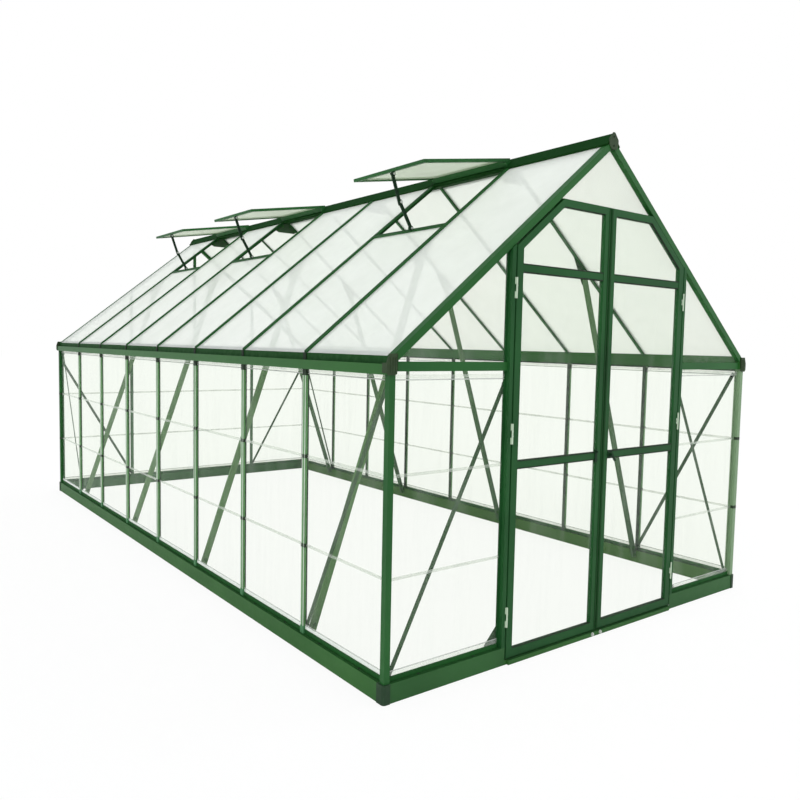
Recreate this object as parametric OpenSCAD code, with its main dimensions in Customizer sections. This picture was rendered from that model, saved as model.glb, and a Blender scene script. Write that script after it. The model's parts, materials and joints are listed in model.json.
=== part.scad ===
// Long greenhouse with a steel base, aluminium frame, clear wall sheets and
// twin-wall roof sheets. Double doors in the front gable, three open roof vents.
// Millimetres. +Z up, front gable faces -Y, origin on the ground at the centre.

/* [Overall size] */
// Width over the base
base_w = 2460; // [2000:10:3000]
// Length over the base
base_l = 4880; // [3800:10:5900]
// Height of the ridge above the ground
ridge_h = 2290; // [2100:5:2500]
// Underside of the gutters above the ground
eave_h = 1243; // [1050:1:1300]
// Height from the underside of the gutters to the roof over the side posts
eave_rise = 61.5; // [56:0.5:72]

/* [Bays] */
// Bays along each side
bays_long = 8; // [6:1:10]
// Bays across the rear gable
bays_wide = 4; // [3:1:5]
// Bays from the rear whose left roof slope has an open vent
vent_bays = [1, 3, 6];
// Frames from the rear that carry leaning struts
strut_frames = [1, 3, 5, 7];

/* [Base] */
// Height of the base rails
base_h = 76; // [60:1:110]
// Width of the ledge that the posts stand on
ledge_w = 42; // [38:1:90]
// Sheet thickness of the base rails
base_t = 2.5; // [1.5:0.5:4]
// How far the plastic corner pieces stand out from the rails
cover_t = 3; // [2:0.5:5]
// Length of a corner piece along the gable
corner_leg = 30; // [24:1:60]
// Radius of a corner piece's outer edge
corner_r = 14; // [6:1:24]

/* [Wall frame] */
// Distance of the sheets' outer face behind the base's outer face
sheet_inset = 24; // [22:1:36]
// How far the posts stand out from the sheets
post_proud = 11; // [8:1:18]
// Face width of a post
post_w = 26; // [20:1:34]
// Depth of a post from its outer to its inner face
post_d = 19; // [17:1:45]
// Side of the square corner posts
corner_w = 27; // [26:1:52]
// Distance from the outer face of a corner post to the end of the outer bays
bay_inset = 20; // [10:1:30]
// Wall thickness of the extruded frame pieces
wall_t = 2; // [1.2:0.2:3]
// Thickness of a wall sheet
sheet_t = 3; // [2:0.5:4]
// Free play of a sheet in its groove, on each edge
sheet_play = 1.5; // [0.5:0.5:3]
// Sheets above each other in a wall bay
courses = 3; // [2:1:4]
// Height of the strip that joins two sheets
strip_h = 12; // [8:1:18]
// Height of the rails at the eaves of the gables
rail_h = 36; // [26:1:50]

/* [Roof frame] */
// Face width of a roof bar
bar_w = 24; // [18:1:32]
// Depth of a roof bar
bar_d = 20; // [18:1:48]
// How far the roof bars stand out from the sheets
bar_proud = 8; // [5:1:12]
// Thickness of a twin-wall roof sheet
roof_t = 4; // [3:0.5:10]
// Depth of the gable rafters, square to the slope
rafter_d = 36; // [30:1:46]
// Thickness of the gable rafters along the length of the house
rafter_t = 26; // [26:1:40]
// How far the ridge profile stands above the line where the roof bars meet
ridge_rise = 18; // [8:1:30]
// Distance from the ridge line to the ends of the roof bars
ridge_reach = 42; // [38:1:60]
// Height of the gutter's outer lip
gutter_lip_h = 27; // [20:1:45]
// Free width of the gutter channel
gutter_w = 26; // [18:1:40]
// How far the gutter's outer wall hangs below its floor
gutter_drip = 12; // [4:1:20]
// How far the plastic corners lap along the gutters
cap_lap = 24; // [15:1:60]
// Width of the hollow eave beam behind the channel
eave_w = 26; // [20:1:34]

/* [Vents] */
// Length of a vent sash from the ridge to its free edge
sash_l = 578; // [450:1:700]
// Slope of the open sash below level, in degrees
sash_open = 9.6; // [4:0.1:20]
// Width of the sash bars
sash_bar = 22; // [16:1:30]
// Thickness of the sash bars
sash_t = 16; // [12:1:24]
// Side play between a sash and its bay
sash_gap = 5; // [3:1:12]
// Width of the sill bar under a vent opening
sill_w = 22; // [16:1:30]
// Width of the links of a vent stay
stay_w = 16; // [12:1:22]
// Thickness of the links of a vent stay
stay_t = 3; // [2:0.5:5]
// Distance of the stays from the middle of their sashes, towards the doors
stay_off = 35; // [0:1:80]

/* [Struts] */
// Width of a strut
strut_w = 34; // [24:1:46]
// Depth of a strut along the length of the house
strut_d = 14; // [10:1:20]
// Distance from the centre to the point where a strut meets its roof bar
strut_top_x = 575; // [450:1:700]
// Length of a strut's head plate along the roof bar
head_l = 170; // [120:5:220]
// Width of the flat corner braces
brace_w = 20; // [14:1:30]
// Thickness of the flat corner braces
brace_t = 2.5; // [1.5:0.5:4]

// Length of the plates at the feet of the door posts
gusset_l = 68; // [50:1:160]
// Height of those plates
gusset_h = 90; // [50:1:160]

/* [Doors] */
// Clear width between the door posts
doorway_w = 1200; // [1000:10:1300]
// Face width of a door post
door_post_w = 20; // [18:1:34]
// Top of the header over the doors
header_top = 1984; // [1800:1:2020]
// Height of the header
header_h = 34; // [26:1:44]
// Height of the threshold strip
sill_h = 20; // [12:1:30]
// How far the threshold strip stands out from the base
sill_out = 11; // [6:1:40]
// Gap between a leaf and its door post
side_gap = 8; // [6:0.5:12]
// Gap between the two leaves
mid_gap = 6; // [5:0.5:10]
// Gap under the leaves and between leaf and frame
leaf_gap = 6; // [5:0.5:10]
// Thickness of a leaf
leaf_t = 22; // [18:1:30]
// Width of the hinge stiles
hinge_stile_w = 35; // [30:1:55]
// Width of the meeting stiles
meet_stile_w = 36; // [30:1:50]
// Height of the bottom and top rails
leaf_rail_h = 32; // [24:1:45]
// Width of the slanted head bar of a leaf
slant_w = 28; // [20:1:36]
// Centre height of the middle rail
mid_rail_z = 850; // [750:5:1000]
// Centre height of the upper rail
upper_rail_z = 1665; // [1500:5:1750]
// Length of a hinge
hinge_l = 86; // [60:1:120]
// Width of a hinge plate from the pin
hinge_plate = 7.5; // [5.5:0.5:20]
// Outer radius of a hinge knuckle
hinge_r = 3.5; // [3:0.25:3.75]
// Radius of a hinge pin
pin_r = 2; // [1.5:0.1:2.4]
// Radial play of a hinge pin in its knuckle
pin_play = 0.05; // [0.02:0.01:0.1]
// Length of the latch lever
lever_l = 34; // [20:1:60]
// Centre heights of the hinges
hinge_z = [206, 982, 1582];

/* [Hidden] */

half_w = base_w / 2;
half_l = base_l / 2;

// Planes of the wall frame, as distances from the centre
side_sheet = half_w - sheet_inset;
end_sheet = half_l - sheet_inset;
side_post = side_sheet + post_proud;
end_post = end_sheet + post_proud;
side_inner = side_post - post_d;
end_inner = end_post - post_d;
corner_out = 5;
corner_x = half_w - corner_out;
corner_y = half_l - corner_out;
pitch_y = 2 * (corner_y - bay_inset) / bays_long;
pitch_x = 2 * (corner_x - bay_inset) / bays_wide;
door_x = doorway_w / 2 + door_post_w;

// The roof slope follows from its height over the ridge and over the side posts
roof_pitch = atan((ridge_h - eave_h - eave_rise) / side_post);
tan_p = tan(roof_pitch);
cos_p = cos(roof_pitch);
sin_p = sin(roof_pitch);

// Heights
wall_h = eave_h - base_h;
course_h = wall_h / courses;
eave_top = eave_h + rail_h;
under_rafter = ridge_h - rafter_d / cos_p;
// Inner face of the eave beams, and underside of the ridge beam
eave_in = side_post - 5 - eave_w;
ridge_low = ridge_h - ridge_reach * sin_p - bar_d * cos_p;
cap_reach = ridge_reach + 18;
ridge_top = ridge_h + ridge_rise;

// Section sizes of posts and bars
lip_w = 8;
flange_w = 20;
groove = sheet_t + 1;
bar_groove = roof_t + 1;
roof_face = -bar_proud;

green = [0.16, 0.42, 0.2];
dark_green = [0.1, 0.25, 0.13];
clear = [0.85, 0.92, 0.88, 0.35];
milky = [0.86, 0.93, 0.87, 0.6];
grey = [0.25, 0.28, 0.25];
steel = [0.75, 0.76, 0.75];

// Height of the roof's outer face at a distance from the centre
function roof_z(x) = ridge_h - tan_p * abs(x);
// Point on the right slope: s down the slope, h out of it
function on_roof(s, h) = [s * cos_p + h * sin_p, ridge_h - s * sin_p + h * cos_p];
// The same point mirrored to the left slope
function mirror_x(p) = [-p[0], p[1]];
// Distance down the slope to a distance x from the centre, at height h
function slope_to(x, h) = (x - h * sin_p) / cos_p;
// Position of frame i, counted from the rear
function frame_y(i) = (bays_long / 2 - i) * pitch_y;
// Point on the ridge profile's right face, q = 0 at its edge and 1 at its rim
function on_ridge(q) = [0, ridge_top] * (1 - q) + on_roof(cap_reach, 3) * q;
// Point on the open sash, from its pivot
function on_sash(u, v) = [
    -sash_pivot[0] - u * cos(sash_open) - v * sin(sash_open),
    sash_pivot[1] - u * sin(sash_open) + v * cos(sash_open)
];

// Frames of reference: local X runs along the wall, local Y points outwards
module on_side(side, x) {
    rotate([0, 0, side < 0 ? 90 : -90]) translate([0, x, 0]) children();
}
module on_end(side, y) {
    rotate([0, 0, side < 0 ? 180 : 0]) translate([0, y, 0]) children();
}
// Extrudes a section drawn in X and Z along Y, between two values of Y
module along_y(y0, y1) {
    translate([0, y1, 0]) rotate([90, 0, 0]) linear_extrude(y1 - y0) children();
}
// Puts local X down the slope and local Z out of it
module on_slope(side) {
    mirror([side < 0 ? 1 : 0, 0, 0])
        translate([0, 0, ridge_h])
            rotate([0, roof_pitch, 0]) children();
}
// A box given by its lowest and highest corner
module block(lo, hi) {
    translate(lo) cube(hi - lo);
}
// A flat bar between two points of the local XZ plane
module flat_bar(a, b, w, t, ends = 0) {
    len = norm(b - a);
    ang = atan2(b[1] - a[1], b[0] - a[0]);
    translate([a[0], 0, a[1]]) rotate([0, -ang, 0])
        translate([-ends, -t / 2, -w / 2]) cube([len + 2 * ends, t, w]);
}

// Section of a wall post: hollow rib outside, web, groove lips, inner flange.
// Outer face at Y = 0
module post_section(w, proud, gap, depth) {
    difference() {
        translate([-w / 2, -proud]) square([w, proud]);
        translate([-w / 2 + wall_t, -proud + wall_t])
            square([w - 2 * wall_t, proud - 2 * wall_t]);
    }
    translate([-wall_t * 0.75, -depth]) square([wall_t * 1.5, depth - proud]);
    translate([-lip_w, -proud - gap - 1.5]) square([2 * lip_w, 1.5]);
    translate([-flange_w / 2, -depth]) square([flange_w, wall_t]);
}
// Section of a corner post: square tube with a pair of lips on both walls.
// Outer corner at the origin, tube towards -X and -Y
module corner_section() {
    back = sheet_inset - corner_out;
    difference() {
        translate([-corner_w, -corner_w]) square(corner_w);
        translate([-corner_w + wall_t, -corner_w + wall_t])
            square(corner_w - 2 * wall_t);
    }
    for (flip = [0, 1]) mirror([flip, -flip]) {
        translate([-corner_w - lip_w, -back]) square([lip_w, wall_t]);
        translate([-corner_w - lip_w, -back - groove - wall_t])
            square([lip_w, wall_t]);
    }
}
// Section of a base rail, outer face at X = 0, its foot open
module base_section() {
    translate([-base_t, 0]) square([base_t, base_h]);
    translate([-ledge_w, base_h - base_t]) square([ledge_w, base_t]);
    translate([-ledge_w, 0]) square([base_t, base_h]);
    translate([-ledge_w * 0.55, 0]) square([ledge_w * 0.55, base_t]);
}
// A box section between two corners of the local XZ plane, hollow along Y
module tube_section(w, h) {
    difference() {
        square([w, h]);
        translate([wall_t, wall_t]) square([w - 2 * wall_t, h - 2 * wall_t]);
    }
}

// ---- Base ----
module base_side_rails() {
    color(green) for (side = [0, 1]) mirror([side, 0, 0])
        translate([half_w, 0, 0])
            along_y(-half_l + ledge_w, half_l - ledge_w) base_section();
}
module base_end_rail(x0, x1) {
    translate([x0, half_l, 0]) rotate([90, 0, 90])
        linear_extrude(x1 - x0) base_section();
}
module base_end_rails() {
    end = half_w - corner_leg;
    color(green) {
        base_end_rail(-end, end);
        for (side = [0, 1]) mirror([side, 0, 0])
            mirror([0, 1, 0]) base_end_rail(doorway_w / 2, end);
    }
}
// Plan of a corner piece, outer corner of the rails at the origin
module corner_plan(grow) {
    difference() {
        translate([-corner_leg, -ledge_w])
            square([corner_leg + grow, ledge_w + grow]);
        translate([grow - corner_r, grow - corner_r]) difference() {
            square(corner_r + 1);
            circle(corner_r, $fn = 48);
        }
    }
}
module base_corners() {
    wall = cover_t + 2;
    color(grey) for (sx = [0, 1], sy = [0, 1])
        mirror([sx, 0, 0]) mirror([0, sy, 0])
            translate([half_w, half_l, 0]) difference() {
                linear_extrude(base_h) corner_plan(cover_t);
                translate([-corner_leg - 1, -ledge_w - 1, -1])
                    cube([corner_leg + cover_t - wall + 1, ledge_w + cover_t - wall + 1,
                        base_h + 1 - 4]);
            }
}
module door_threshold() {
    x = doorway_w / 2;
    inner = leaf_t + 12;
    nose = x - side_gap - 6;
    color(green) difference() {
        union() {
            block([-x, -half_l, 0], [x, -half_l + inner, sill_h]);
            block([-nose, -half_l - sill_out, 0], [nose, -half_l + 1, sill_h]);
        }
        block([-x - 1, -half_l + 3, -1], [x + 1, -half_l + inner - 3, sill_h - 3]);
        block([-nose + 3, -half_l - sill_out + 3, -1], [nose - 3, -half_l + 4, sill_h - 3]);
    }
}

// ---- Wall posts ----
module corner_posts() {
    color(green) for (sx = [0, 1], sy = [0, 1])
        mirror([sx, 0, 0]) mirror([0, sy, 0])
            translate([corner_x, corner_y, base_h])
                linear_extrude(wall_h) corner_section();
}
module wall_post(h) {
    linear_extrude(h) post_section(post_w, post_proud, groove, post_d);
}
module side_wall_posts() {
    color(green) for (side = [-1, 1], i = [1 : bays_long - 1])
        on_side(side, side_post) translate([-side * frame_y(i), 0, base_h])
            wall_post(wall_h);
}
module rear_wall_posts() {
    color(green) for (i = [1 : bays_wide - 1]) {
        x = (i - bays_wide / 2) * pitch_x;
        on_end(1, end_post) translate([x, 0, base_h]) wall_post(wall_h);
        // upper post from the eave rail to the rafters
        intersection() {
            on_end(1, end_post) translate([x, 0, eave_top])
                wall_post(ridge_h - eave_top);
            below_rafters(under_rafter);
        }
    }
}
// Everything under the gable rafters and the ridge beam
module below_rafters(top) {
    flat = min(half_w, max(0, (top - ridge_low) / tan_p));
    along_y(-half_l - 200, half_l + 200)
        polygon([[flat, top - tan_p * flat], [eave_in, top - tan_p * eave_in],
            [eave_in, 0], [-eave_in, 0], [-eave_in, top - tan_p * eave_in],
            [-flat, top - tan_p * flat]]);
}
module door_posts() {
    color(green) for (side = [0, 1]) mirror([side, 0, 0])
        intersection() {
            translate([doorway_w / 2, -half_l, base_h]) union() {
                linear_extrude(ridge_h)
                    tube_section(door_post_w, half_l - end_inner);
                for (z = [[0, wall_h], [wall_h + rail_h, ridge_h]])
                    translate([door_post_w, sheet_inset, z[0]])
                        linear_extrude(z[1] - z[0]) {
                            translate([0, -wall_t]) square([lip_w, wall_t]);
                            translate([0, groove]) square([lip_w, wall_t]);
                        }
            }
            below_rafters(under_rafter);
        }
}
// Three-cornered plates that tie the feet of the door posts to the base
module post_gussets() {
    x = door_x;
    y = -end_inner;
    for (side = [0, 1]) mirror([side, 0, 0])
        along_y(y, y + 3)
            polygon([[x - door_post_w, base_h], [x + gusset_l, base_h],
                [x + gusset_l, base_h + 18], [x, base_h + gusset_h],
                [x - door_post_w, base_h + gusset_h]]);
}

// ---- Eaves ----
module gutter_section() {
    in = eave_in;
    out = eave_in + eave_w;
    lip = out + gutter_w;
    // the beam stays a hair under the roof sheets
    under = roof_face - roof_t - 0.01;
    top_in = on_roof(slope_to(in, under), under)[1];
    top_out = on_roof(slope_to(out, under), under)[1];
    // a thin wall covers the sheets' lower edge
    stop = roof_z(out) + (roof_face + 1.2) / cos_p;
    difference() {
        polygon([[in, eave_h], [lip - wall_t, eave_h], [lip - wall_t, eave_h - gutter_drip],
            [lip, eave_h - gutter_drip], [lip, eave_h + gutter_lip_h],
            [lip - wall_t, eave_h + gutter_lip_h], [lip - wall_t, eave_h + wall_t],
            [out + 1.5, eave_h + wall_t], [out + 1.5, stop], [out, stop],
            [out, top_out], [in, top_in]]);
        polygon([[in + wall_t, eave_h + wall_t], [out - wall_t, eave_h + wall_t],
            [out - wall_t, top_out - 1], [in + wall_t, top_in - 1 - wall_t * tan_p]]);
    }
}
module gutters() {
    color(green) for (side = [0, 1]) mirror([side, 0, 0])
        along_y(-corner_y, corner_y) gutter_section();
}
// Plastic corner at each end of a gutter: an end plate, a side that laps the
// gutter's lip and a lid on its edge
module eave_corners() {
    in = eave_in + eave_w;
    lip = in + gutter_w;
    top = eave_h + gutter_lip_h;
    low = eave_h - gutter_drip - 1;
    high = roof_z(in);
    color(grey) for (sx = [0, 1], sy = [0, 1])
        mirror([sx, 0, 0]) mirror([0, sy, 0]) {
            translate([0, corner_y, 0]) along_y(0, 5)
                polygon([[in - 18, low + 4], [in - 8, low], [lip - 6, low], [lip + 4, low + 10],
                    [lip + 4, top + 4], [lip - 8, high], [in - 18, high]]);
            block([lip, corner_y - cap_lap, low + 8], [lip + 4, corner_y, top + 4]);
            block([lip - 16, corner_y - cap_lap, top], [lip, corner_y, top + 4]);
        }
}
module gable_eave_rail(x0, y) {
    translate([x0, y, eave_h]) rotate([90, 0, 90]) linear_extrude(eave_in - x0)
        tube_section(post_d, rail_h);
}
module gable_eave_rails() {
    color(green) {
        gable_eave_rail(-eave_in, end_post - post_d);
        for (side = [0, 1]) mirror([side, 0, 0]) gable_eave_rail(door_x, -end_post);
    }
}
module door_header() {
    y0 = -half_l + leaf_t + leaf_gap;
    color(green) intersection() {
        block([-half_w, y0, header_top - header_h], [half_w, y0 + 26, header_top]);
        below_rafters(under_rafter);
    }
}

// ---- Roof frame ----
// A bar down the slope: section drawn with X along the house and Y out of
// the slope. It rests on the eave beam, and its rib stops at the ridge cap
module slope_bar(side, y) {
    intersection() {
        on_slope(side) translate([0, y, 0]) difference() {
            translate([ridge_reach, 0, 0]) rotate([90, 0, 90])
                linear_extrude(half_w / cos_p) children();
            block([0, -100, roof_face], [cap_reach, 100, 1]);
        }
        over_eaves();
    }
}
// Everything between the eave beams and above them
module over_eaves() {
    out = eave_in + eave_w - 0.01;
    under = roof_face - roof_t;
    right = [[eave_in, 0], [eave_in, on_roof(slope_to(eave_in, under), under)[1]],
        [out, on_roof(slope_to(out, under), under)[1]], [out, ridge_h + 100]];
    along_y(-half_l, half_l)
        polygon(concat(right, [for (i = [len(right) - 1 : -1 : 0]) mirror_x(right[i])]));
}
// Section of a gable rafter, outer corner at the origin, house towards -X
module rafter_section() {
    translate([-rafter_t, -rafter_d])
        tube_section(rafter_t, rafter_d + roof_face + 1.5);
    translate([-rafter_t - lip_w, roof_face]) square([lip_w, 1.5]);
    translate([-rafter_t - lip_w, roof_face - bar_groove - 1.5]) square([lip_w, 1.5]);
}
module gable_rafters() {
    color(green) for (side = [-1, 1]) for (sy = [0, 1]) mirror([0, sy, 0])
        slope_bar(side, corner_y) rafter_section();
}
module roof_bars() {
    color(green) for (side = [-1, 1], i = [1 : bays_long - 1])
        slope_bar(side, frame_y(i))
            post_section(bar_w, bar_proud, bar_groove, bar_d);
}
module ridge_beam() {
    low = on_roof(ridge_reach, -bar_d);
    right = [
        on_roof(cap_reach, 3), on_roof(cap_reach, roof_face),
        on_roof(cap_reach - wall_t, roof_face), on_roof(cap_reach - wall_t, -wall_t),
        on_roof(ridge_reach, -wall_t), low
    ];
    hollow = [on_roof(ridge_reach - wall_t, -4), [low[0] - 1, low[1] + 3]];
    color(green) along_y(-corner_y, corner_y) difference() {
        polygon(concat([[0, ridge_top]], right,
            [for (i = [len(right) - 1 : -1 : 0]) mirror_x(right[i])]));
        polygon([[0, ridge_top - 6], hollow[0], hollow[1],
            mirror_x(hollow[1]), mirror_x(hollow[0])]);
    }
}
module ridge_caps() {
    color(grey) for (side = [0, 1]) mirror([0, side, 0])
        along_y(corner_y, corner_y + 4)
            polygon([[-6, ridge_top + 3], [6, ridge_top + 3], [32, ridge_top - 28],
                [32, ridge_top - 52], [18, ridge_top - 72], [-18, ridge_top - 72],
                [-32, ridge_top - 52], [-32, ridge_top - 28]]);
}

// ---- Sheets ----
// Courses of one wall bay between two edges
module bay_sheets(u0, u1, y) {
    for (k = [0 : courses - 1]) {
        z0 = base_h + k * course_h + (k > 0 ? 0.8 : 0);
        z1 = base_h + (k + 1) * course_h - (k < courses - 1 ? 0.8 : 0);
        block([u0, y - sheet_t, z0], [u1, y, z1]);
    }
}
function bay_edge(i, n, pitch, last) =
    i == 0 ? -last : i == n ? last : (i - n / 2) * pitch;
module wall_sheets(n, pitch, last, y) {
    edge = wall_t * 0.75 + sheet_play;
    for (i = [0 : n - 1])
        bay_sheets(bay_edge(i, n, pitch, last) + (i == 0 ? sheet_play : edge),
            bay_edge(i + 1, n, pitch, last) - (i == n - 1 ? sheet_play : edge), y);
}
module side_wall_sheets() {
    color(clear) for (side = [-1, 1]) on_side(side, 0)
        wall_sheets(bays_long, pitch_y, corner_y - corner_w, side_sheet);
}
module rear_wall_sheets() {
    color(clear) on_end(1, 0)
        wall_sheets(bays_wide, pitch_x, corner_x - corner_w, end_sheet);
}
module front_wall_sheets() {
    color(clear) for (side = [0, 1]) mirror([side, 0, 0])
        on_end(-1, 0) bay_sheets(-(corner_x - corner_w) + sheet_play,
            -door_x - sheet_play, end_sheet);
}
module gable_sheets() {
    edge = wall_t * 0.75 + sheet_play;
    color(clear) {
        // rear gable, one sheet a bay
        intersection() {
            for (i = [0 : bays_wide - 1])
                block([bay_edge(i, bays_wide, pitch_x, half_w) + edge,
                    end_sheet - sheet_t, eave_top],
                    [bay_edge(i + 1, bays_wide, pitch_x, half_w) - edge,
                    end_sheet, ridge_h]);
            below_rafters(under_rafter);
        }
        // front gable, over the header and beside the door posts
        intersection() {
            union() {
                block([-half_w, -end_sheet, header_top], [half_w, -end_sheet + sheet_t, ridge_h]);
                for (side = [0, 1]) mirror([side, 0, 0])
                    block([door_x + sheet_play, -end_sheet, eave_top],
                        [half_w, -end_sheet + sheet_t, header_top - 60]);
            }
            below_rafters(under_rafter);
        }
    }
}
// Strips between the courses of a bay
module bay_strips(u0, u1, y) {
    for (k = [1 : courses - 1]) translate([0, 0, base_h + k * course_h]) {
        block([u0, y, -strip_h / 2], [u1, y + 1.2, strip_h / 2]);
        block([u0, y - sheet_t, -0.8], [u1, y, 0.8]);
        block([u0, y - sheet_t - 1.2, -strip_h / 2], [u1, y - sheet_t, strip_h / 2]);
    }
}
module wall_strips(n, pitch, last, y) {
    for (i = [0 : n - 1])
        bay_strips(bay_edge(i, n, pitch, last) + (i == 0 ? lip_w : post_w / 2) + 1,
            bay_edge(i + 1, n, pitch, last) - (i == n - 1 ? lip_w : post_w / 2) - 1, y);
}
module sheet_strips() {
    color(grey) {
        for (side = [-1, 1]) on_side(side, 0)
            wall_strips(bays_long, pitch_y, corner_y - corner_w, side_sheet);
        on_end(1, 0) wall_strips(bays_wide, pitch_x, corner_x - corner_w, end_sheet);
        for (side = [0, 1]) mirror([side, 0, 0]) on_end(-1, 0)
            bay_strips(-(corner_x - corner_w) + lip_w + 1, -door_x - lip_w - 1, end_sheet);
    }
}
function is_vent(i) = len([for (v = vent_bays) if (v == i) 1]) > 0;
sill_s = sash_l;
module roof_sheets(side) {
    edge = wall_t * 0.75 + sheet_play;
    s1 = slope_to(eave_in + eave_w - 0.5, roof_face);
    color(milky) on_slope(side) for (i = [0 : bays_long - 1]) {
        y1 = i == 0 ? corner_y - rafter_t - sheet_play : frame_y(i) - edge;
        y0 = i == bays_long - 1 ? -corner_y + rafter_t + sheet_play : frame_y(i + 1) + edge;
        s0 = side < 0 && is_vent(i) ? sill_s + sill_w / 2 : ridge_reach + 1;
        block([s0, y0, roof_face - roof_t], [s1, y1, roof_face]);
    }
}
module left_roof_sheets() { roof_sheets(-1); }
module right_roof_sheets() { roof_sheets(1); }

// ---- Vents ----
sash_pivot = on_ridge(0.3);
module for_vents() {
    for (i = vent_bays)
        translate([0, (frame_y(i) + frame_y(i + 1)) / 2, 0]) children();
}
sash_w = pitch_y - 2 * sash_gap;
module sash_piece(u0, u1, v0, v1, y0, y1) {
    along_y(y0, y1) polygon([on_sash(u0, v0), on_sash(u1, v0), on_sash(u1, v1), on_sash(u0, v1)]);
}
module vent_sash_sides() {
    color(green) for_vents() for (side = [0, 1]) mirror([0, side, 0])
        sash_piece(40, sash_l, 0, sash_t, sash_w / 2 - sash_bar, sash_w / 2);
}
module vent_sash_ends() {
    color(green) for_vents() {
        sash_piece(sash_l - sash_bar, sash_l, 0, sash_t, -sash_w / 2 + sash_bar,
            sash_w / 2 - sash_bar);
        sash_piece(sash_l - sash_bar / 2 - 10, sash_l - sash_bar / 2 + 10, -20, 2,
            -stay_off - stay_t, -stay_off);
        along_y(-sash_w / 2, sash_w / 2)
            polygon([mirror_x(on_ridge(0.3)), mirror_x(on_ridge(0.8)), on_sash(40, 0),
                on_sash(40, sash_t), on_sash(4, sash_t)]);
    }
}
module vent_sheets() {
    color(milky) for_vents()
        sash_piece(40, sash_l - sash_bar, 5, 5 + roof_t,
            -sash_w / 2 + sash_bar, sash_w / 2 - sash_bar);
}
module vent_sills() {
    w = pitch_y - bar_w;
    color(green) on_slope(-1) for_vents() {
        block([sill_s - sill_w / 2, -w / 2, roof_face - roof_t - 2],
            [sill_s + sill_w / 2, w / 2, 0]);
        block([sill_s - 10, -stay_off, -2], [sill_s + 10, stay_t - stay_off, 20]);
    }
}
// Stay: two links lapped at a pin, held by a bracket at each end
stay_top = on_sash(sash_l - sash_bar / 2, -12);
stay_low = mirror_x(on_roof(sill_s, 12));
stay_mid = [
    stay_top[0] + 0.44 * (stay_low[0] - stay_top[0]) - 6,
    stay_top[1] + 0.52 * (stay_low[1] - stay_top[1])
];
module vent_stays() {
    color(dark_green) for_vents() translate([0, -stay_off, 0]) {
        translate([0, stay_t / 2, 0]) flat_bar(stay_top, stay_mid, stay_w, stay_t, stay_w / 2);
        translate([0, -stay_t / 2, 0]) flat_bar(stay_mid, stay_low, stay_w, stay_t, stay_w / 2);
        translate([stay_mid[0], 0, stay_mid[1]]) rotate([90, 0, 0])
            cylinder(d = 7, h = 4 * stay_t, center = true, $fn = 24);
    }
}

// ---- Struts and braces ----
strut_head = [strut_top_x, roof_z(strut_top_x) - bar_d / cos_p];
strut_foot = [side_inner - strut_w / 2 - 16, base_h];
strut_len = norm(strut_head - strut_foot);
head_drop = 96;
function along_strut(t, off) = let (
    d = (strut_head - strut_foot) / strut_len,
    n = [d[1], -d[0]]
) strut_foot + d * t + n * off;
module frame_struts() {
    top = strut_len - 34;
    color(green) for (i = strut_frames, side = [0, 1]) mirror([side, 0, 0])
        along_y(frame_y(i) - strut_d / 2, frame_y(i) + strut_d / 2)
            intersection() {
                polygon([along_strut(-60, -strut_w / 2), along_strut(top, -strut_w / 2),
                    along_strut(top, strut_w / 2), along_strut(-60, strut_w / 2)]);
                // the foot is cut to stand flat against the base rail's inner face
                translate([0, base_h - 38]) square([half_w - ledge_w, ridge_h]);
            }
}
module strut_heads() {
    s = slope_to(strut_top_x, -bar_d);
    for (i = strut_frames, side = [0, 1]) mirror([side, 0, 0])
        along_y(frame_y(i) + strut_d / 2, frame_y(i) + strut_d / 2 + 3)
            polygon([on_roof(s - head_l / 2, -bar_d), on_roof(s + head_l / 2, -bar_d),
                along_strut(strut_len - head_drop, strut_w / 2 + 2),
                along_strut(strut_len - head_drop, -strut_w / 2 - 2)]);
}
module ridge_plates() {
    for (i = strut_frames)
        along_y(frame_y(i) - 1.5, frame_y(i) + 1.5)
            polygon([on_roof(ridge_reach, -bar_d), on_roof(ridge_reach + 90, -bar_d),
                [on_roof(ridge_reach + 90, -bar_d)[0] - 24, on_roof(ridge_reach + 90, -bar_d)[1] - 12],
                [-on_roof(ridge_reach + 90, -bar_d)[0] + 24, on_roof(ridge_reach + 90, -bar_d)[1] - 12],
                mirror_x(on_roof(ridge_reach + 90, -bar_d)), mirror_x(on_roof(ridge_reach, -bar_d))]);
}
module joint_plates() {
    color(green) {
        post_gussets();
        strut_heads();
        ridge_plates();
    }
}
module corner_braces() {
    top = eave_h - 30;
    low = base_h + 25;
    // the bars' ends stand off the corner posts' middle
    ends = corner_w + 15;
    // the braces end before the lips of the corner posts
    room = sheet_inset - corner_out + groove + wall_t + 0.1;
    x = min(side_inner, corner_x - corner_w);
    y = min(end_inner, corner_y - corner_w);
    color(dark_green) intersection() {
        union() {
        // side walls, both end bays
        for (sx = [0, 1], sy = [0, 1]) mirror([sx, 0, 0]) mirror([0, sy, 0])
            translate([x - brace_t / 2, 0, 0]) rotate([0, 0, 90])
                flat_bar([corner_y - ends, top], [corner_y - corner_w / 2 - pitch_y, low],
                    brace_w, brace_t, 8);
        // rear wall
        for (sx = [0, 1]) mirror([sx, 0, 0])
            translate([0, y - brace_t / 2, 0])
                flat_bar([corner_x - corner_w / 2, top - 60],
                    [corner_x - corner_w / 2 - pitch_x, low],
                    brace_w, brace_t, 8);
        // front wall beside the doors
        for (sx = [0, 1]) mirror([sx, 0, 0])
            translate([0, -y + brace_t / 2, 0])
                flat_bar([corner_x - ends, base_h + 16], [door_x - door_post_w / 2, top - 13],
                    brace_w, brace_t, 8);
        }
        block([room - corner_x, room - corner_y, base_h],
            [corner_x - room, corner_y - room, eave_h]);
    }
}

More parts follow.
